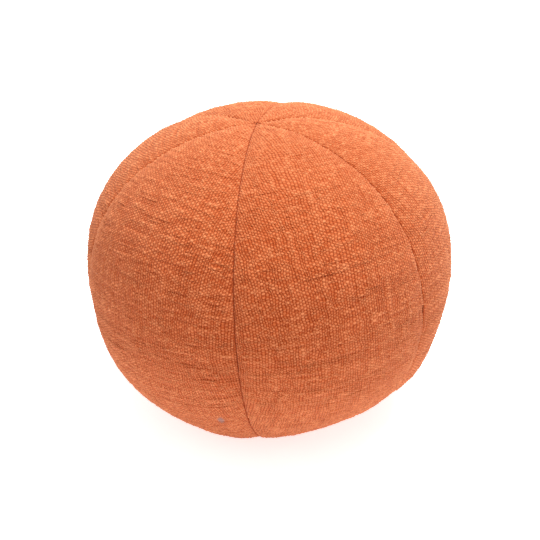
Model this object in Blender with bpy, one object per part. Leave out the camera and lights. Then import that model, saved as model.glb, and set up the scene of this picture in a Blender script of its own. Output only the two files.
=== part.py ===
# A stuffed ball cushion: six pointed gores of slub cloth sewn edge to edge around one filled body.
# Sizes are in metres, +Z is up, and the ball rests on a small flat spot at z = 0.
# The cushion is seen from -Y. Azimuths are in degrees from -Y, positive towards +X.

import math

import bmesh
import bpy
from mathutils import Matrix, Vector

for old in list(bpy.data.objects):
    bpy.data.objects.remove(old, do_unlink=True)

# The ball
HALF_WIDTH = 0.145  # from the middle to the crown of a gore, at the widest ring
SQUASH = 0.856  # height over width, before the flat spot
FULLNESS = 0.0040  # how much further out it stands halfway to each pole
LEAN_LEFT_DEG = 4.2  # the sewn top points a little to the left
LEAN_FRONT_DEG = -2.0  # and a little away from the front
SINK = 0.0093  # how far its own weight flattens the bottom
ROLL = 0.005  # how softly the flat spot rounds into the sides

# The six sewn channels
SEAM_DEPTH = 0.0022  # the stitches draw the cloth in by this much
SEAM_REACH = 0.0065  # and the channel is about twice this wide
CROWN = 0.0012  # how far a gore swells between its seams
CROWN_TAPER = 0.7  # how slowly that swelling dies out towards the points
POLE_DEPTH = 0.0040  # the hollow where the six points meet
POLE_REACH = 0.016

# The cloth
CLOTH = 0.0020  # with its slubs
UNDER_CLOTH = 0.0006  # from the cloth to the filled body
SEAM_GAP = 0.0004  # between two gores
TIP_RADIUS = 0.0022  # the points stop this far from the middle of the pole

# How finely the solids are cut
ROWS = 24
ROW_EASE = 0.30
HALF_COLUMNS = (0.0, 0.36, 0.68, 0.89, 1.0)  # from a gore's middle to its seam
EVEN_WITHIN = 0.5  # sine of the angle from a pole within which the columns turn even
STEP = 1e-4  # the small step that finds which way a surface faces

# name, azimuth of the seam on its left, azimuth of the seam on its right
GORES = (
    ("gore_front_right", -9.1, 53.7),
    ("gore_right", 53.7, 102.5),
    ("gore_back_right", 102.5, 163.0),
    ("gore_back_left", 163.0, 228.5),
    ("gore_left", 228.5, 284.1),
    ("gore_front_left", 284.1, 350.9),
)

# Where hand-packed filling makes the ball fuller or flatter:
# azimuth, height angle, rise of the surface, reach as an angle
LUMPS = (
    (92.0, -8.0, -0.0034, 22.0),
    (67.0, -32.0, 0.0016, 16.0),
    (78.0, -19.0, -0.0024, 11.0),
    (65.0, -37.0, 0.0018, 10.0),
    (-5.0, -58.0, 0.0035, 22.0),
    (28.0, -57.0, -0.0022, 12.0),
    (-16.0, -58.0, 0.0012, 12.0),
    (-82.0, -10.0, -0.0027, 20.0),
    (-92.0, 6.0, -0.0013, 12.0),
    (-122.0, 41.0, 0.0011, 22.0),
    (118.0, 41.0, -0.0015, 22.0),
    (-60.0, -40.0, 0.0012, 22.0),
)

CLOTH_COLOUR = (0.62, 0.17, 0.06, 1.0)
BODY_COLOUR = (0.45, 0.11, 0.04, 1.0)

LEAN = Matrix.Rotation(math.radians(LEAN_FRONT_DEG), 3, "X") @ Matrix.Rotation(
    math.radians(-LEAN_LEFT_DEG), 3, "Y"
)
MIDDLE_HEIGHT = HALF_WIDTH * SQUASH - SINK


def toward(azimuth, height):
    """Unit direction for an azimuth and a height angle, both in degrees."""
    a, h = math.radians(azimuth), math.radians(height)
    return Vector((math.cos(h) * math.sin(a), -math.cos(h) * math.cos(a), math.sin(h)))


def rest(z):
    """Height after the bottom is pressed flat on what it rests on."""
    if z <= -ROLL:
        return 0.0
    if z >= ROLL:
        return z
    return (z + ROLL) ** 2 / (4 * ROLL)


def skin(gore, share, polar):
    """A point of the cloth's outer face.

    share runs from -1 at the gore's left seam to 1 at its right seam, and polar is the angle
    from the sewn top, in radians.
    """
    name, left, right = gore
    half_angle = math.radians(right - left) / 2
    azimuth = math.radians(left + right) / 2 + share * half_angle
    ring = HALF_WIDTH * math.sin(polar)
    from_seam = ring * (1 - abs(share)) * half_angle
    from_pole = HALF_WIDTH * min(polar, math.pi - polar)
    rise = CROWN * math.sin(polar) ** CROWN_TAPER * (1 - share * share)
    rise += FULLNESS * math.sin(2 * polar) ** 2
    channel = math.exp(-((from_seam / SEAM_REACH) ** 2)) * min(1.0, from_pole / POLE_REACH)
    rise -= SEAM_DEPTH * channel
    rise -= POLE_DEPTH * math.exp(-((from_pole / POLE_REACH) ** 2))
    way = Vector((
        math.sin(polar) * math.sin(azimuth),
        -math.sin(polar) * math.cos(azimuth),
        math.cos(polar),
    ))
    turned = LEAN @ way
    for lump_azimuth, lump_height, lump_rise, lump_reach in LUMPS:
        apart = turned.angle(toward(lump_azimuth, lump_height))
        rise += lump_rise * math.exp(-((apart / math.radians(lump_reach)) ** 2))
    radius = HALF_WIDTH + rise
    point = LEAN @ Vector((way.x * radius, way.y * radius, way.z * radius * SQUASH))
    point.z = rest(point.z + MIDDLE_HEIGHT)
    return point


def below(gore, share, polar, depth):
    """The same point, moved straight inwards by depth."""
    point = skin(gore, share, polar)
    if depth == 0:
        return point
    near = share * (1 - STEP)
    across = skin(gore, near + STEP, polar) - skin(gore, near - STEP, polar)
    along = skin(gore, share, polar + STEP) - skin(gore, share, polar - STEP)
    return point - depth * along.cross(across).normalized()


def polar_of(row):
    """The rows are closer together near the two poles."""
    t = row / ROWS
    tip = TIP_RADIUS / HALF_WIDTH
    return tip + (math.pi - 2 * tip) * (t - ROW_EASE * math.sin(2 * math.pi * t) / (2 * math.pi))


COLUMNS = len(HALF_COLUMNS) - 1


def share_of(column, polar):
    """The columns crowd towards the seams, but stay even near the points."""
    even = column / COLUMNS
    crowded = math.copysign(HALF_COLUMNS[abs(column)], column)
    blend = min(1.0, math.sin(polar) / EVEN_WITHIN)
    return even + (crowded - even) * blend


def finish(name, bm, colour):
    """Makes the object of a finished mesh, with its own cloth material."""
    bmesh.ops.recalc_face_normals(bm, faces=bm.faces)
    mesh = bpy.data.meshes.new(name)
    bm.to_mesh(mesh)
    bm.free()
    obj = bpy.data.objects.new(name, mesh)
    bpy.context.collection.objects.link(obj)
    material = bpy.data.materials.new(name)
    material.use_nodes = True
    shader = material.node_tree.nodes["Principled BSDF"]
    shader.inputs["Base Color"].default_value = colour
    shader.inputs["Roughness"].default_value = 0.9
    shader.inputs["Metallic"].default_value = 0.0
    mesh.materials.append(material)
    return obj


def face_grid(bm, gore, depth):
    """One face of a gore: a grid whose corners are laid on the ball. Returns its edges."""
    made = bmesh.ops.create_grid(bm, x_segments=2 * COLUMNS, y_segments=ROWS, size=1.0)
    for vert in made["verts"]:
        column = round(vert.co.x * COLUMNS)
        polar = polar_of(round((1 - vert.co.y) / 2 * ROWS))
        share = share_of(column, polar)
        half_angle = math.radians(gore[2] - gore[1]) / 2
        cut_back = SEAM_GAP / 2 / (HALF_WIDTH * math.sin(polar) * half_angle)
        share = max(-1 + cut_back, min(1 - cut_back, share))
        vert.co = below(gore, share, polar, depth)
    edges = {edge for vert in made["verts"] for edge in vert.link_edges}
    return [edge for edge in edges if edge.is_boundary]


def make_gore(gore):
    """One pointed panel of cloth, closed all round."""
    bm = bmesh.new()
    outer = face_grid(bm, gore, 0.0)
    inner = face_grid(bm, gore, CLOTH)
    bmesh.ops.bridge_loops(bm, edges=outer + inner)
    return finish(gore[0], bm, CLOTH_COLOUR)


def make_body():
    """The filled ball inside the cloth, with its channels, on the same rows and columns."""
    bm = bmesh.new()
    around = 2 * COLUMNS * len(GORES)
    rings = ROWS + 2
    depth = CLOTH + UNDER_CLOTH
    bmesh.ops.create_uvsphere(bm, u_segments=around, v_segments=rings, radius=1.0)
    for vert in bm.verts:
        row = round(math.acos(max(-1.0, min(1.0, vert.co.z))) / math.pi * rings)
        if row in (0, rings):
            tip = polar_of(0) if row == 0 else polar_of(ROWS)
            vert.co = sum((below(gore, 0.0, tip, depth) for gore in GORES), Vector()) / len(GORES)
            continue
        turn = math.atan2(vert.co.y, vert.co.x) / (2 * math.pi) * around
        place = round(turn) % around
        gore = GORES[place // (2 * COLUMNS)]
        column = place % (2 * COLUMNS) - COLUMNS
        polar = polar_of(row - 1)
        vert.co = below(gore, share_of(column, polar), polar, depth)
    return finish("cushion_body", bm, BODY_COLOUR)


gores = [make_gore(gore) for gore in GORES]
body = make_body()

# The middle of the bottom of the whole cushion goes to the origin.
corners = [vert.co for obj in gores for vert in obj.data.vertices]
low = Vector([min(c[k] for c in corners) for k in range(3)])
high = Vector([max(c[k] for c in corners) for k in range(3)])
shift = Matrix.Translation((-(low.x + high.x) / 2, -(low.y + high.y) / 2, -low.z))
for obj in gores + [body]:
    obj.data.transform(shift)

print("cushion", [round(high[k] - low[k], 4) for k in range(3)])
for obj in gores + [body]:
    print(obj.name, len(obj.data.polygons), "faces")
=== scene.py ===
# %% [markdown]
# A stuffed ball cushion, sewn from six pointed gores of orange slub cloth.
#
# The solids of the part give its true size and the places of its seams. This script dresses
# them: it plumps the filled body with a cloth simulation, weaves six gores of cloth as real
# meshes, lays them on the body edge to edge, sews them, and lights them like a studio picture.

# %% Load the frame
import math

import bmesh
import bpy
import numpy as np
from mathutils import Matrix, Vector
from mathutils.bvhtree import BVHTree


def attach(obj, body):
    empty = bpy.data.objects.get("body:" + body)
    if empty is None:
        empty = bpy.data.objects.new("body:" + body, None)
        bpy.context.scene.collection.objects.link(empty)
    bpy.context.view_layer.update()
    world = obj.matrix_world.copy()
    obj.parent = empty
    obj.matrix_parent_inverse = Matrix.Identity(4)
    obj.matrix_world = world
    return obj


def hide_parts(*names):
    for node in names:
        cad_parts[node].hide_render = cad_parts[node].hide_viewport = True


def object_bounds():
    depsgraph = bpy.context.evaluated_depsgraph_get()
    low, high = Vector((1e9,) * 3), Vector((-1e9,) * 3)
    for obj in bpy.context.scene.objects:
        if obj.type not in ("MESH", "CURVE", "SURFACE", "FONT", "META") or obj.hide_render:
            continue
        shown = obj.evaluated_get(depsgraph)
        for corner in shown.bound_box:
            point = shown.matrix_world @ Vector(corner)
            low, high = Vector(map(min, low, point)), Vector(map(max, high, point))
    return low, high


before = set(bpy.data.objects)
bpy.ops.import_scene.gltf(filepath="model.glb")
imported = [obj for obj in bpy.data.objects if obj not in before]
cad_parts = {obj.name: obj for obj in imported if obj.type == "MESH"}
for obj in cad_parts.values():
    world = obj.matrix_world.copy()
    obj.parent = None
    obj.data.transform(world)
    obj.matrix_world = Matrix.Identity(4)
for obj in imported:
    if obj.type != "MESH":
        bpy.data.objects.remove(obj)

cad_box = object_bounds()
print("the solids fill", [round(b - a, 4) for a, b in zip(*cad_box)], "metres")

# %% [markdown]
# The camera looks down on the front at the picture's angle. A long lens far away keeps the ball
# from bulging. It aims a little below the middle, which lifts the ball in the picture.

# %% Camera
BALL_RADIUS = 0.145
VIEW_HEIGHT_DEG = 29.0
VIEW_DISTANCE = 7.5 * BALL_RADIUS
SENSOR_MM = 36.0
LENS_MM = 91.2
AIM_RIGHT = 0.0013
AIM_DOWN = 0.0089

middle = (cad_box[0] + cad_box[1]) / 2
tilt = math.radians(VIEW_HEIGHT_DEG)
look = Vector((0, math.cos(tilt), -math.sin(tilt)))
up = Vector((0, math.sin(tilt), math.cos(tilt)))
eye = middle - look * VIEW_DISTANCE
aim = middle + Vector((AIM_RIGHT, 0, 0)) - up * AIM_DOWN

lens = bpy.data.cameras.new("camera")
lens.lens = LENS_MM
lens.sensor_width = SENSOR_MM
camera = bpy.data.objects.new("camera", lens)
bpy.context.collection.objects.link(camera)
camera.location = eye
camera.rotation_euler = (aim - eye).to_track_quat("-Z", "Y").to_euler()
bpy.context.scene.camera = camera
print("the camera stands", round((eye - middle).length, 3), "metres away")

# %% [markdown]
# The ball is built around its sewn axis, which leans a little to the left. A gore is measured in
# its own flat cloth: s runs across it from its middle line, t runs along it from the top point.
# Bending the flat gore round the ball keeps its yarns where the weaver put them: the warp runs
# from point to point, and the weft arches over the middle and sinks towards both seams.

# %% The gores and their flat cut
BALL_MIDDLE = Vector((0, 0, 0.1148))
SQUASH = 0.856
LEAN_LEFT_DEG = 4.2
LEAN_FRONT_DEG = -2.0
GORE_LENGTH = 0.424  # along the middle line, from point to point
TIP = 0.0008  # the points stop this far from the pole
SEAM_GAP = 0.00006

# name, azimuth of the seam on its left, azimuth of the seam on its right
GORES = (
    ("gore_front_right", -9.1, 53.7),
    ("gore_right", 53.7, 102.5),
    ("gore_back_right", 102.5, 163.0),
    ("gore_back_left", 163.0, 228.5),
    ("gore_left", 228.5, 284.1),
    ("gore_front_left", 284.1, 350.9),
)
lean = np.array(
    Matrix.Rotation(math.radians(LEAN_FRONT_DEG), 3, "X")
    @ Matrix.Rotation(math.radians(-LEAN_LEFT_DEG), 3, "Y")
)


def half_width(t, half_angle):
    """How far the seam is from a gore's middle line, at a distance t along it."""
    return BALL_RADIUS * np.arctan(math.tan(half_angle) * np.sin(math.pi * t / GORE_LENGTH))


def directions(s, t, mid_angle):
    """Unit directions from the ball's middle to the points s, t of a gore."""
    across = s / BALL_RADIUS
    along = math.pi * t / GORE_LENGTH
    out = np.cos(across) * np.sin(along)
    side = np.sin(across)
    rise = np.cos(across) * np.cos(along) * SQUASH
    x = out * math.sin(mid_angle) + side * math.cos(mid_angle)
    y = -out * math.cos(mid_angle) + side * math.sin(mid_angle)
    way = np.stack([x, y, rise], -1) @ lean.T
    return way / np.linalg.norm(way, axis=-1, keepdims=True)


# %% [markdown]
# The filling is one soft body. Its solid is copied, remeshed into even quads and blown up from
# inside as cloth while the seams stay pinned, as the stitches hold them on the real cushion. No
# point may travel far, so that the body keeps its size, and its foot is pressed flat again.

# %% Plump the filled body
VOXEL = 0.005
START_SCALE = 0.998
PRESSURE = 30.0
FRAMES = 20
MOST_TRAVEL = 0.005
PIN_WITHIN = 0.006
FOOT = 0.0026  # the body's underside, above the cloth that it presses down
FOOT_ROLL = 0.001
# azimuth from the front, height angle, rise, reach as an angle
FULLER = ((60, -42, 0.0018, 16), (-10, -61, 0.0020, 16), (92, 12, 0.0010, 30))


def new_object(name, mesh):
    obj = bpy.data.objects.new(name, mesh)
    bpy.context.collection.objects.link(obj)
    return obj


def read_points(mesh):
    co = np.empty(len(mesh.vertices) * 3)
    mesh.vertices.foreach_get("co", co)
    return co.reshape(-1, 3)


def write_points(mesh, points):
    mesh.vertices.foreach_set("co", np.ascontiguousarray(points, dtype=float).ravel())
    mesh.update()


def bake_modifiers(obj):
    """Replaces an object's mesh with the one that its modifiers make."""
    graph = bpy.context.evaluated_depsgraph_get()
    made = bpy.data.meshes.new_from_object(obj.evaluated_get(graph), depsgraph=graph)
    obj.modifiers.clear()
    old = obj.data
    obj.data = made
    bpy.data.meshes.remove(old)


def seam_distance(points):
    """How far each point is from the nearest seam, measured round the ball."""
    local = (points - np.array(BALL_MIDDLE)) @ lean
    angle = np.degrees(np.arctan2(local[:, 0], -local[:, 1]))
    ring = np.hypot(local[:, 0], local[:, 1])
    seams = np.array([left for name, left, right in GORES])
    turn = np.abs((angle[:, None] - seams + 180) % 360 - 180).min(axis=1)
    return ring * np.radians(turn)


def press_foot(points, floor_height):
    """Points below the floor height are pressed up to it, with a soft roll round the edge."""
    z = points[:, 2] - floor_height
    rolled = np.where(z >= FOOT_ROLL, z, (z + FOOT_ROLL) ** 2 / (4 * FOOT_ROLL))
    points[:, 2] = floor_height + np.where(z <= -FOOT_ROLL, 0.0, rolled)
    return points


def pack_fuller(points):
    """Hand-packed filling stands out a little more in some places."""
    away = points - np.array(BALL_MIDDLE)
    away /= np.linalg.norm(away, axis=1, keepdims=True)
    for azimuth, height, rise, reach in FULLER:
        a, h = math.radians(azimuth), math.radians(height)
        toward = np.array((math.cos(h) * math.sin(a), -math.cos(h) * math.cos(a), math.sin(h)))
        apart = np.degrees(np.arccos(np.clip(away @ toward, -1.0, 1.0)))
        points = points + away * (rise * np.exp(-((apart / reach) ** 2)))[:, None]
    return points


def plump_body():
    bm = bmesh.new()
    bm.from_mesh(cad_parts["cushion_body"].data)
    bmesh.ops.remove_doubles(bm, verts=bm.verts, dist=1e-5)
    mesh = bpy.data.meshes.new("stuffed_body")
    bm.to_mesh(mesh)
    bm.free()
    mesh.transform(
        Matrix.Translation(BALL_MIDDLE) @ Matrix.Scale(START_SCALE, 4) @ Matrix.Translation(-BALL_MIDDLE)
    )
    obj = new_object("stuffed_body", mesh)
    remesh = obj.modifiers.new("even_quads", "REMESH")
    remesh.mode = "VOXEL"
    remesh.voxel_size = VOXEL
    bake_modifiers(obj)
    start = read_points(obj.data)
    pins = obj.vertex_groups.new(name="stitched")
    held = np.nonzero(seam_distance(start) < PIN_WITHIN)[0]
    pins.add([int(k) for k in held], 1.0, "REPLACE")
    cloth = obj.modifiers.new("plump", "CLOTH")
    cloth.settings.use_pressure = True
    cloth.settings.uniform_pressure_force = PRESSURE
    cloth.settings.vertex_group_mass = "stitched"
    cloth.settings.effector_weights.gravity = 0.0
    cloth.point_cache.frame_start = 1
    cloth.point_cache.frame_end = FRAMES
    scene = bpy.context.scene
    for number in range(1, FRAMES + 1):
        scene.frame_set(number)
    bake_modifiers(obj)
    scene.frame_set(1)
    return obj, start


body, start = plump_body()
points = read_points(body.data)
travel = points - start
far = np.linalg.norm(travel, axis=1, keepdims=True)
print("the filling pushed the body out by up to", round(float(far.max()) * 1000, 1), "mm")
travel *= np.minimum(1.0, MOST_TRAVEL / np.maximum(far, 1e-9))
write_points(body.data, press_foot(pack_fuller(start + travel), FOOT))
print("the body has", len(body.data.polygons), "faces")

# %% [markdown]
# The cloth is a plain weave of soft thick warps and closer wefts. Where a warp passes over a weft
# it shows as a small round dot, and the dots of neighbouring warps are staggered. The grid below
# has a vertex on each dot, on each weft between the dots and in each pit, so the cloth's own shape
# shows the weave, even at the ball's edge. Slub yarn is spun unevenly: each yarn has its own
# places where it swells for a few millimetres, and it never runs quite straight.

# %% Weave a flat gore
WARP_STEP = 0.0020  # from one warp to the next
WEFT_STEP = 0.00128  # from one weft to the next
PER_YARN = 2  # grid steps from one yarn to the next
RIM = (0.0007, 0.0002)  # along a seam, extra rows of vertices follow it at these distances
CALM_WITHIN = 4.0  # yarns: near a seam the yarns lie straight, because the stitches hold them
BACK_COLUMNS = 10  # the hidden back of the cloth is plain and coarse
DOT, BETWEEN_DOTS, WEFT_TOP, BESIDE, PIT = 0.85, 0.20, -0.15, -0.50, -1.0
random = np.random.default_rng(7)
# How strongly the long thick places of the wefts and of the warps show: the left side shows more
# of its wefts, the right side more of its warps
STREAKS = {
    "gore_front_right": (0.8, 1.1),
    "gore_right": (0.8, 0.9),
    "gore_back_right": (1.0, 0.8),
    "gore_back_left": (1.0, 0.8),
    "gore_left": (1.2, 0.6),
    "gore_front_left": (1.3, 0.7),
}


def soft_noise(columns, rows, reach_across, reach_along):
    """A field of soft random waves, most of them between -1 and 1."""
    field = random.normal(size=(columns, rows))
    for axis, reach in ((0, reach_across), (1, reach_along)):
        wide = int(reach * 2.5) + 1
        bell = np.exp(-((np.arange(-wide, wide + 1) / reach) ** 2))
        bell /= np.sqrt((bell**2).sum())
        padded = np.pad(field, [(wide, wide) if k == axis else (0, 0) for k in (0, 1)], "wrap")
        field = np.apply_along_axis(np.convolve, axis, padded, bell, "valid")
    return field


def over(field, level, span):
    """What rises over a level, from 0 to about 1."""
    return np.clip((field - level) / span, 0.0, 1.3)


def flat_grid(columns, rows):
    """A grid of quads, and the column and row of each vertex, columns counted from the middle."""
    bm = bmesh.new()
    size = Matrix.Diagonal((columns, rows, 1.0, 1.0))
    bmesh.ops.create_grid(bm, x_segments=columns, y_segments=rows, size=0.5, matrix=size)
    mesh = bpy.data.meshes.new("flat_grid")
    bm.to_mesh(mesh)
    bm.free()
    place = np.round(read_points(mesh)[:, :2] + (0.0, rows / 2))
    return mesh, place[:, 0], place[:, 1]


def weave_gore(left, right, weft_share, warp_share):
    """The flat front and back of a gore. Each front vertex knows its yarns, height and slub."""
    half_angle = math.radians(right - left) / 2
    row_yarns = 2 * round((GORE_LENGTH - 2 * TIP) / WEFT_STEP / 2)
    row_step = (GORE_LENGTH - 2 * TIP) / row_yarns
    across = int(half_width(GORE_LENGTH / 2, half_angle) / WARP_STEP) + 1
    columns, rows = 2 * across * PER_YARN, row_yarns * PER_YARN
    front, column, row = flat_grid(columns, rows)
    u, v = column / PER_YARN, row / PER_YARN
    at = (column.astype(int) + columns // 2, row.astype(int))
    size = (columns + 1, rows + 1)
    yarn_at = (np.round(u).astype(int) + across + 1, np.round(v).astype(int))
    yarns = (2 * across + 3, row_yarns + 1)
    t = TIP + v * row_step
    limit = half_width(t, half_angle) - SEAM_GAP / 2
    calm = np.clip((limit - np.abs(u) * WARP_STEP) / WARP_STEP / CALM_WITHIN, 0.0, 1.0)
    calm = calm * np.clip(np.minimum(v, row_yarns - v) / 12, 0.0, 1.0)
    stray_u = calm * (0.35 * soft_noise(*size, 12, 45)[at] + 0.20 * soft_noise(*size, 2.2, 4)[at])
    stray_v = calm * (0.45 * soft_noise(*size, 45, 12)[at] + 0.19 * soft_noise(*size, 4, 2.2)[at])
    between_u = column % PER_YARN != 0
    between_v = row % PER_YARN != 0
    weft_slub = over(soft_noise(yarns[0], yarns[1], 3.0, 0.3)[yarn_at], 0.6, 1.3)
    weft_slub = weft_slub * np.where(between_v, 0.45, 1.0)
    warp_slub = over(soft_noise(yarns[0], yarns[1], 0.3, 5.0)[yarn_at], 1.0, 1.6)
    warp_slub = warp_slub * np.where(between_u, 0.35, 1.0)
    streak = weft_share * soft_noise(yarns[0], yarns[1], 4.5, 0.35)[yarn_at]
    streak = streak + warp_share * soft_noise(yarns[0], yarns[1], 0.35, 6)[yarn_at]
    uneven = soft_noise(yarns[0], yarns[1], 0.3, 0.3)[yarn_at]
    knot = over(soft_noise(yarns[0], yarns[1], 0.7, 0.9)[yarn_at], 1.9, 1.0)
    dot = (np.round(u) + np.round(v)) % 2 == 0
    hill = np.where(dot, DOT + 0.55 * uneven + 0.8 * warp_slub + 0.6 * weft_slub,
                    WEFT_TOP + 0.20 * uneven + 1.5 * weft_slub)
    hill = np.where(between_v, BETWEEN_DOTS + 0.9 * warp_slub + 0.3 * weft_slub, hill)
    hill = np.where(between_u, BESIDE + 0.7 * weft_slub, hill)
    hill = np.where(between_u & between_v, PIT + 0.3 * weft_slub, hill)
    hill = np.clip(hill + 0.32 * streak + 0.9 * knot, -1.5, 2.4)
    slub = np.where(dot, 0.55 * uneven, 0.0) + warp_slub + 0.6 * weft_slub + knot + 0.16 * streak
    s = (u + stray_u) * WARP_STEP
    tip_row = (v == 0) | (v == row_yarns)
    limit[tip_row] = 0.0
    beyond = tip_row | (np.abs(s) > limit - 1.3 * RIM[0])
    cut_off = np.zeros(size, dtype=bool)
    cut_off[at] = beyond
    inward = (at[0] - np.sign(column).astype(int), at[1])
    first = beyond & ~cut_off[inward]
    cut_off[at] = beyond & ~first
    second = beyond & ~first & ~cut_off[inward]
    wide = limit > 2 * RIM[0]
    inset = np.where(first & wide, RIM[0], np.where(second & wide, RIM[1], 0.0))
    s = np.where(beyond, np.sign(u) * (limit - inset), s)
    t = np.where(beyond, t, t + stray_v * row_step)
    write_points(front, np.stack([s, t, np.zeros_like(s)], -1))
    # The seam edges keep a mask that the material uses to paint them dark: painted shade in the seam's fold.
    seam_shade = np.where(beyond, 1.0 - inset / RIM[0], 0.0)
    for key, values in (("hill", hill), ("slub", slub), ("seam_shade", seam_shade), ("front", np.ones_like(s))):
        front.attributes.new(key, "FLOAT", "POINT").data.foreach_set("value", values)
    cut = np.stack([np.where(beyond, s / WARP_STEP - stray_u, u), v, np.zeros_like(u)], -1)
    front.attributes.new("cut", "FLOAT_VECTOR", "POINT").data.foreach_set("vector", cut.ravel())
    back, column, row = flat_grid(BACK_COLUMNS, rows)
    t = TIP + row / PER_YARN * row_step
    limit = half_width(t, half_angle) - SEAM_GAP / 2
    limit[(row == 0) | (row == rows)] = 0.0
    s = column / (BACK_COLUMNS / 2) * limit
    write_points(back, np.stack([s, t, np.full_like(s, 0.001)], -1))
    return front, back


def close_gore(name, front, back):
    """Joins the front and back of a gore along their edges into one closed sheet.

    Bending turns the flat gore's underside outward, so its back lies above its front until then.
    """
    bm = bmesh.new()
    bm.from_mesh(front)
    bm.from_mesh(back)
    bmesh.ops.remove_doubles(bm, verts=bm.verts, dist=1e-6)
    edges = [edge for edge in bm.edges if edge.is_boundary]
    bmesh.ops.bridge_loops(bm, edges=edges)
    bmesh.ops.recalc_face_normals(bm, faces=bm.faces)
    mesh = bpy.data.meshes.new(name)
    bm.to_mesh(mesh)
    bm.free()
    bpy.data.meshes.remove(front)
    bpy.data.meshes.remove(back)
    return mesh


# %% [markdown]
# The flat gore is now bent round the body. From the ball's middle a ray goes out to each vertex's
# place, meets the plumped body, and the cloth is laid a little above the point that it meets.
# Towards a seam the cloth turns in, where the thread pulls it down into a narrow groove.

# %% Lay the gores on the body
COVER = 0.0032  # from the body to the tops of the yarns
UNDER = 0.0006  # from the body to the back of the cloth
HILL = 0.00044  # the dots rise and the pits sink by this much
GROOVE_DEPTH = 0.0004  # a shallow dip beside each seam
GROOVE_REACH = 0.0040
FOLD = 0.0013  # and in it the edges dive down to the thread
FOLD_REACH = 0.0016
WEFT_LIFT = 0.005  # stretched cloth lifts its wefts towards the seams, in the upper half
PUCKER = 0.00022
PUCKER_REACH = 0.009
# A few loose nubs of yarn stand out of the cloth: place, rise, reach
NUBS = (
    ((-0.1235, -0.0101, 0.1836), 0.0013, 0.0016),
    ((0.0954, 0.0056, 0.2140), 0.0012, 0.0015),
)


def read_value(mesh, key, size=1):
    values = np.empty(len(mesh.vertices) * size)
    mesh.attributes[key].data.foreach_get("value" if size == 1 else "vector", values)
    return values.reshape(-1, size) if size > 1 else values


def lay_gore(mesh, tree, left, right):
    half_angle = math.radians(right - left) / 2
    mid_angle = math.radians(left + right) / 2
    flat = read_points(mesh)
    s, t = flat[:, 0], flat[:, 1]
    share = s / np.maximum(half_width(t, half_angle), 1e-6)
    t = t - WEFT_LIFT * share**2 * np.maximum(0.0, np.cos(math.pi * t / GORE_LENGTH)) * np.minimum(1.0, t / 0.06)
    s = share * half_width(t, half_angle)
    ways = directions(s, t, mid_angle)
    reach = np.array([tree.ray_cast(BALL_MIDDLE, Vector(way))[3] for way in ways])
    hill = read_value(mesh, "hill")
    slub = read_value(mesh, "slub")
    front = read_value(mesh, "front") > 0.5
    from_seam = np.maximum(0.0, half_width(t, half_angle) - np.abs(s))
    from_tip = np.minimum(t, GORE_LENGTH - t)
    fade = np.minimum(1.0, from_tip / 0.012)
    groove = GROOVE_DEPTH * np.exp(-((from_seam / GROOVE_REACH) ** 2))
    roll = FOLD * np.maximum(0.0, 1.0 - from_seam / FOLD_REACH) ** 1.6
    groove = (groove + roll) * (0.4 + 0.6 * fade)
    waves = soft_noise(2, 512, 0.3, 4.0)
    wave = np.where(s < 0, np.interp(t, np.linspace(0, GORE_LENGTH, 512), waves[0]),
                    np.interp(t, np.linspace(0, GORE_LENGTH, 512), waves[1]))
    pucker = PUCKER * wave * np.exp(-from_seam / PUCKER_REACH) * fade
    rise = HILL * hill * np.clip(0.2 + from_seam / FOLD_REACH, 0.0, 1.0)
    lift = np.where(front, COVER - HILL + rise + pucker - groove, UNDER)
    for place, stand, spread in NUBS:
        outer = np.array(BALL_MIDDLE) + ways * (reach + COVER)[:, None]
        apart = np.linalg.norm(outer - np.array(place), axis=1)
        lift = lift + np.where(front, stand * np.exp(-((apart / spread) ** 2)), 0.0)
    points = np.array(BALL_MIDDLE) + ways * (reach + lift)[:, None]
    points[:, 2] = np.maximum(points[:, 2], np.where(front, 0.0, 0.0018))
    write_points(mesh, points)


def cut_area(half_angle):
    """The flat area of a gore, seams included."""
    t = np.linspace(0.0, GORE_LENGTH, 400)
    return float(2 * half_width(t, half_angle).mean() * GORE_LENGTH)


def fine_tree(obj):
    """A smooth fine copy of the body to lay the cloth on."""
    smooth = obj.modifiers.new("smooth", "SUBSURF")
    smooth.levels = 2
    smooth.render_levels = 2
    graph = bpy.context.evaluated_depsgraph_get()
    tree = BVHTree.FromObject(obj, graph)
    obj.modifiers.remove(smooth)
    return tree


tree = fine_tree(body)
gores = {}
for name, left, right in GORES:
    mesh = close_gore(name + "_cloth", *weave_gore(left, right, *STREAKS[name]))
    lay_gore(mesh, tree, left, right)
    mesh.shade_smooth()
    cut = read_value(mesh, "cut", 3)
    corner = np.empty(len(mesh.loops), dtype=int)
    mesh.loops.foreach_get("vertex_index", corner)
    mesh.uv_layers.new(name="cut").data.foreach_set("uv", cut[corner, :2].ravel())
    gores[name] = new_object(name + "_cloth", mesh)
    print(name, "has", len(mesh.polygons), "faces and", round(cut_area(math.radians(right - left) / 2), 4), "m2")

body.data.shade_smooth()

# %% [markdown]
# Strong thread closes each seam. It runs in and out of the two folded edges, deep in the groove,
# so that only a short bow of it shows at each stitch.

# %% Sew the seams
STITCH = 0.0036
THREAD_RADIUS = 0.00022
THREAD_LIFT = 0.0011  # above the body, halfway between the bows and the dives
THREAD_BOW = 0.0005
END_SHY = 0.004  # the thread is knotted off inside, this far from the pole


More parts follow.
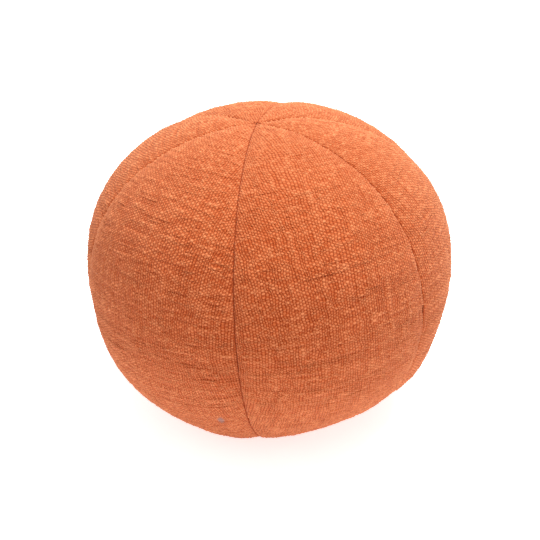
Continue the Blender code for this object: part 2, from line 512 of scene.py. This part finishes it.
def sew_seam(name, tree, left, right):
    """The thread along the left seam of a gore, as a thin tube that waves in and out."""
    half_angle = math.radians(right - left) / 2
    mid_angle = math.radians(left + right) / 2
    count = 2 * int((GORE_LENGTH - 2 * END_SHY) / STITCH)
    t = np.linspace(END_SHY, GORE_LENGTH - END_SHY, count + 1)
    ways = directions(-half_width(t, half_angle), t, mid_angle)
    reach = np.array([tree.ray_cast(BALL_MIDDLE, Vector(way))[3] for way in ways])
    wave = np.where(np.arange(count + 1) % 2 == 0, -1.0, 1.0)
    points = np.array(BALL_MIDDLE) + ways * (reach + THREAD_LIFT + THREAD_BOW * wave)[:, None]
    points[:, 2] = np.maximum(points[:, 2], 0.0006)
    curve = bpy.data.curves.new(name, "CURVE")
    curve.dimensions = "3D"
    curve.resolution_u = 2
    curve.bevel_depth = THREAD_RADIUS
    curve.bevel_resolution = 1
    curve.use_fill_caps = True
    line = curve.splines.new("BEZIER")
    line.bezier_points.add(count)
    for knot, point in zip(line.bezier_points, points):
        knot.co = point
        knot.handle_left_type = "AUTO"
        knot.handle_right_type = "AUTO"
    shown = new_object(name, curve)
    graph = bpy.context.evaluated_depsgraph_get()
    mesh = bpy.data.meshes.new_from_object(shown.evaluated_get(graph), depsgraph=graph)
    bpy.data.objects.remove(shown)
    bpy.data.curves.remove(curve)
    mesh.shade_smooth()
    return new_object(name, mesh)


threads = [sew_seam(name + "_thread", tree, left, right) for name, left, right in GORES]
print("the threads have", sum(len(obj.data.polygons) for obj in threads), "faces")

# %% [markdown]
# Colour comes from the yarns. Dyed slub yarn takes the colour unevenly: thick loose places are
# lighter and tight places are deeper. Shade and light are painted in too: the pits between the
# yarns and the folded seam edges are painted dark as shade, the raised tops of the warps are
# painted lighter as a highlight, and the cloth is painted paler where it is seen edge-on, as a
# sheen. The weave's colours are worked out from the yarn counts that each gore carries, so colour
# and weave always meet.

# %% The cloth's material
def add_node(tree, kind, **settings):
    node = tree.nodes.new(kind)
    for key, value in settings.items():
        setattr(node, key, value)
    return node


def wire(tree, node, socket, value):
    """Sets a socket to a number or colour, or links it to another socket."""
    if isinstance(value, bpy.types.NodeSocket):
        tree.links.new(value, node.inputs[socket])
    else:
        node.inputs[socket].default_value = value


def calc(tree, operation, *values):
    node = add_node(tree, "ShaderNodeMath", operation=operation)
    for k, value in enumerate(values):
        wire(tree, node, k, value)
    return node.outputs[0]


def blend(tree, factor, first, second):
    node = add_node(tree, "ShaderNodeMix", data_type="FLOAT")
    wire(tree, node, 0, factor)
    wire(tree, node, 2, first)
    wire(tree, node, 3, second)
    return node.outputs[0]


def blend_colour(tree, factor, first, second):
    node = add_node(tree, "ShaderNodeMix", data_type="RGBA")
    wire(tree, node, 0, factor)
    wire(tree, node, 6, first)
    wire(tree, node, 7, second)
    return node.outputs[2]


def step_up(tree, value, low, high):
    node = add_node(tree, "ShaderNodeMapRange", interpolation_type="SMOOTHSTEP")
    wire(tree, node, 0, value)
    wire(tree, node, 1, low)
    wire(tree, node, 2, high)
    return node.outputs[0]


def rounded(tree, across, narrow):
    """The round top of a yarn, from its middle at 1 to its edges at 0."""
    share = calc(tree, "POWER", calc(tree, "ABSOLUTE", calc(tree, "MULTIPLY", across, narrow)), 2.0)
    return calc(tree, "SQRT", calc(tree, "MAXIMUM", calc(tree, "SUBTRACT", 1.0, share), 0.0))


def bow(tree, along, top):
    """How a yarn bows up over the one that it crosses: 1 at its top, 0 where it dives."""
    return step_up(tree, along, 1.0 - top, top)


def weave_group():
    group = bpy.data.node_groups.new("slub weave", "ShaderNodeTree")
    group.interface.new_socket("Cut", in_out="INPUT", socket_type="NodeSocketVector")
    group.interface.new_socket("Slub", in_out="INPUT", socket_type="NodeSocketFloat")
    group.interface.new_socket("Seam Shade", in_out="INPUT", socket_type="NodeSocketFloat")
    group.interface.new_socket("Pit Shade", in_out="INPUT", socket_type="NodeSocketColor")
    group.interface.new_socket("Plain", in_out="INPUT", socket_type="NodeSocketColor")
    group.interface.new_socket("Light", in_out="INPUT", socket_type="NodeSocketColor")
    group.interface.new_socket("Color", in_out="OUTPUT", socket_type="NodeSocketColor")
    group.interface.new_socket("Height", in_out="OUTPUT", socket_type="NodeSocketFloat")
    given = add_node(group, "NodeGroupInput").outputs
    result = add_node(group, "NodeGroupOutput")
    parts = add_node(group, "ShaderNodeSeparateXYZ")
    wire(group, parts, 0, given["Cut"])
    u, v = parts.outputs[0], parts.outputs[1]
    near_u = calc(group, "ROUND", u)
    near_v = calc(group, "ROUND", v)
    off_u = calc(group, "SUBTRACT", u, near_u)
    off_v = calc(group, "SUBTRACT", v, near_v)
    along_warp = calc(group, "PINGPONG", calc(group, "SUBTRACT", v, near_u), 1.0)
    along_weft = calc(group, "PINGPONG", calc(group, "SUBTRACT", u, near_v), 1.0)
    narrow = calc(group, "SUBTRACT", 2.3, calc(group, "MULTIPLY", given["Slub"], 0.45))
    warp = calc(group, "MULTIPLY", rounded(group, off_u, narrow), bow(group, along_warp, 0.0))
    weft = calc(group, "MULTIPLY", rounded(group, off_v, narrow), bow(group, along_weft, 1.0))
    yarn = calc(group, "MAXIMUM", warp, calc(group, "MULTIPLY", weft, 0.42))
    fibre = add_node(group, "ShaderNodeTexNoise", noise_dimensions="2D")
    wire(group, fibre, "Vector", given["Cut"])
    wire(group, fibre, "Scale", 3.5)
    wire(group, fibre, "Detail", 3.0)
    height = calc(group, "ADD", yarn, calc(group, "MULTIPLY", fibre.outputs[0], 0.5))
    chance = add_node(group, "ShaderNodeTexWhiteNoise", noise_dimensions="2D")
    spot = add_node(group, "ShaderNodeCombineXYZ")
    wire(group, spot, 0, near_u)
    wire(group, spot, 1, calc(group, "ROUND", calc(group, "MULTIPLY", v, 0.5)))
    wire(group, chance, "Vector", spot.outputs[0])
    patch = add_node(group, "ShaderNodeTexNoise", noise_dimensions="2D")
    spread = add_node(group, "ShaderNodeCombineXYZ")
    wire(group, spread, 0, calc(group, "MULTIPLY", u, 0.15))
    wire(group, spread, 1, calc(group, "MULTIPLY", v, 0.80))
    wire(group, patch, "Vector", spread.outputs[0])
    wire(group, patch, "Scale", 1.0)
    wire(group, patch, "Detail", 2.0)
    tone_and_highlight = calc(group, "ADD", calc(group, "MULTIPLY", chance.outputs[0], 0.35), calc(group, "MULTIPLY", patch.outputs[0], 0.25))
    tone_and_highlight = calc(group, "ADD", tone_and_highlight, calc(group, "MULTIPLY", given["Slub"], 0.35))
    # A painted highlight: the raised top of each warp is made lighter. The other parts of the tone are the yarn's own
    # uneven dye.
    tone_and_highlight = calc(group, "ADD", tone_and_highlight, calc(group, "MULTIPLY", warp, 0.50))
    light = step_up(group, tone_and_highlight, 0.08, 1.37)
    body_colour = blend_colour(group, light, given["Plain"], given["Light"])
    # Painted shade: where the yarn is low, in the pits between the yarns, and on the folded seam edges, the colour is
    # mixed toward the darkest colour.
    painted_shade = calc(group, "MAXIMUM", step_up(group, yarn, 0.50, 0.05), given["Seam Shade"])
    colour = blend_colour(group, painted_shade, body_colour, given["Pit Shade"])
    wire(group, result, "Color", colour)
    wire(group, result, "Height", height)
    return group


weave = weave_group()
# The first colour is painted shade, for the pits and the seam folds.
PIT_SHADE = (0.27, 0.028, 0.003, 1.0)
PLAIN = (0.47, 0.083, 0.019, 1.0)
LIGHT = (0.66, 0.193, 0.075, 1.0)
STAIN = (0.33, 0.160, 0.135, 1.0)
STAIN_PLACE = (-0.0352, -0.1237, 0.0509)  # on the front left gore, low down
STAIN_RADIUS = 0.0030
# A pale colour for a painted sheen where the cloth is seen edge-on.
PAINTED_SHEEN = (0.80, 0.400, 0.230, 1.0)


def cloth_material(name, dark_colour, plain, light, bump):
    material = bpy.data.materials.new(name)
    material.use_nodes = True
    tree = material.node_tree
    shader = tree.nodes["Principled BSDF"]
    shader.inputs["Roughness"].default_value = 0.92
    shader.inputs["Specular IOR Level"].default_value = 0.12
    shader.inputs["Sheen Weight"].default_value = 0.08
    shader.inputs["Sheen Roughness"].default_value = 0.5
    shader.inputs["Sheen Tint"].default_value = (1.0, 0.78, 0.60, 1.0)
    cut = add_node(tree, "ShaderNodeUVMap", uv_map="cut")
    slub = add_node(tree, "ShaderNodeAttribute", attribute_name="slub")
    seam_shade = add_node(tree, "ShaderNodeAttribute", attribute_name="seam_shade")
    cloth = add_node(tree, "ShaderNodeGroup")
    cloth.node_tree = weave
    wire(tree, cloth, "Cut", cut.outputs[0])
    wire(tree, cloth, "Slub", slub.outputs["Fac"])
    wire(tree, cloth, "Seam Shade", seam_shade.outputs["Fac"])
    wire(tree, cloth, "Pit Shade", dark_colour)
    wire(tree, cloth, "Plain", plain)
    wire(tree, cloth, "Light", light)
    coords = add_node(tree, "ShaderNodeTexCoord")
    away = add_node(tree, "ShaderNodeVectorMath", operation="SUBTRACT")
    wire(tree, away, 0, coords.outputs["Object"])
    wire(tree, away, 1, STAIN_PLACE)
    tall = add_node(tree, "ShaderNodeVectorMath", operation="MULTIPLY")
    wire(tree, tall, 0, away.outputs[0])
    wire(tree, tall, 1, (1.0, 0.6, 0.6))
    apart = add_node(tree, "ShaderNodeVectorMath", operation="LENGTH")
    wire(tree, apart, 0, tall.outputs[0])
    ragged = add_node(tree, "ShaderNodeTexNoise")
    wire(tree, ragged, "Vector", coords.outputs["Object"])
    wire(tree, ragged, "Scale", 900.0)
    wobble = calc(tree, "MULTIPLY", ragged.outputs[0], STAIN_RADIUS * 0.4)
    stained = step_up(tree, calc(tree, "ADD", apart.outputs["Value"], wobble), STAIN_RADIUS * 1.4, STAIN_RADIUS * 0.7)
    stained = calc(tree, "MULTIPLY", stained, 0.9)
    # Painted sheen: where the cloth is seen edge-on its colour is mixed toward a pale orange, except in the painted
    # shade of the seam folds.
    slant = add_node(tree, "ShaderNodeLayerWeight")
    wire(tree, slant, "Blend", 0.35)
    sheen_share = calc(tree, "MULTIPLY", slant.outputs["Facing"], calc(tree, "SUBTRACT", 1.0, seam_shade.outputs["Fac"]))
    with_sheen = blend_colour(tree, calc(tree, "MULTIPLY", sheen_share, 0.17), cloth.outputs["Color"], PAINTED_SHEEN)
    wire(tree, shader, "Base Color", blend_colour(tree, stained, with_sheen, STAIN))
    raised = add_node(tree, "ShaderNodeBump")
    wire(tree, raised, "Height", cloth.outputs["Height"])
    wire(tree, raised, "Distance", bump)
    wire(tree, raised, "Strength", 1.0)
    wire(tree, shader, "Normal", raised.outputs[0])
    return material


def grainy_material(name, scale, dark_colour, light):
    """Fine fibre: the ticking round the filling, and the thread."""
    material = bpy.data.materials.new(name)
    material.use_nodes = True
    tree = material.node_tree
    shader = tree.nodes["Principled BSDF"]
    shader.inputs["Roughness"].default_value = 0.95
    shader.inputs["Specular IOR Level"].default_value = 0.08
    coords = add_node(tree, "ShaderNodeTexCoord")
    grain = add_node(tree, "ShaderNodeTexNoise")
    wire(tree, grain, "Vector", coords.outputs["Object"])
    wire(tree, grain, "Scale", scale)
    wire(tree, grain, "Detail", 3.0)
    colour = blend_colour(tree, grain.outputs[0], dark_colour, light)
    wire(tree, shader, "Base Color", colour)
    raised = add_node(tree, "ShaderNodeBump")
    wire(tree, raised, "Height", grain.outputs[0])
    wire(tree, raised, "Distance", 0.0002)
    wire(tree, shader, "Normal", raised.outputs[0])
    return material


body.data.materials.clear()
body.data.materials.append(grainy_material("ticking", 600.0, (0.20, 0.03, 0.01, 1.0), (0.45, 0.10, 0.035, 1.0)))
rust_thread = grainy_material("rust thread", 1500.0, (0.25, 0.028, 0.003, 1.0), (0.42, 0.065, 0.012, 1.0))
for obj in threads:
    obj.data.materials.clear()
    obj.data.materials.append(rust_thread)
orange_cloth = cloth_material("orange slub cloth", PIT_SHADE, PLAIN, LIGHT, 0.0005)
for obj in gores.values():
    obj.data.materials.clear()
    obj.data.materials.append(orange_cloth)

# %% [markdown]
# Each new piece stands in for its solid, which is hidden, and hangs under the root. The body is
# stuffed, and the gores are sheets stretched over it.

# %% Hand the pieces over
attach(body, "root")
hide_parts("cushion_body")
for obj in threads:
    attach(obj, "root")
for name, left, right in GORES:
    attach(gores[name], "root")
    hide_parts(name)

# %% [markdown]
# A product picture: a white floor that runs far back, a white room, and one very large lamp
# overhead and a little to the right, so that the top is bright and the left side falls off.

# %% Floor and light
FLOOR_SIZE = 12.0
ROOM = 0.71
LAMP_POWER = 46.0
GLOW = 0.71

bm = bmesh.new()
bmesh.ops.create_grid(bm, x_segments=1, y_segments=1, size=FLOOR_SIZE / 2)
floor_mesh = bpy.data.meshes.new("floor")
bm.to_mesh(floor_mesh)
bm.free()
floor = new_object("floor", floor_mesh)
paper = bpy.data.materials.new("white paper")
paper.use_nodes = True
shader = paper.node_tree.nodes["Principled BSDF"]
shader.inputs["Roughness"].default_value = 0.9
coords = add_node(paper.node_tree, "ShaderNodeTexCoord")
grain = add_node(paper.node_tree, "ShaderNodeTexNoise")
wire(paper.node_tree, grain, "Vector", coords.outputs["Object"])
wire(paper.node_tree, grain, "Scale", 40.0)
white = blend_colour(paper.node_tree, grain.outputs[0], (0.93, 0.93, 0.93, 1.0), (0.97, 0.97, 0.97, 1.0))
wire(paper.node_tree, shader, "Base Color", white)
wire(paper.node_tree, shader, "Emission Color", white)
shader.inputs["Emission Strength"].default_value = GLOW
floor.data.materials.append(paper)

world = bpy.data.worlds.new("white room")
world.use_nodes = True
world.node_tree.nodes["Background"].inputs["Color"].default_value = (1.0, 1.0, 1.0, 1.0)
world.node_tree.nodes["Background"].inputs["Strength"].default_value = ROOM
bpy.context.scene.world = world


def add_lamp(name, place, size, power):
    light = bpy.data.lights.new(name, "AREA")
    light.shape = "DISK"
    light.size = size
    light.energy = power
    light.color = (0.85, 1.0, 1.0)
    lamp = bpy.data.objects.new(name, light)
    bpy.context.collection.objects.link(lamp)
    lamp.location = place
    lamp.rotation_euler = (BALL_MIDDLE - Vector(place)).to_track_quat("-Z", "Y").to_euler()
    return lamp


add_lamp("overhead", (0.26, 0.12, 1.65), 1.2, LAMP_POWER)
bpy.context.scene.view_settings.view_transform = "Standard"
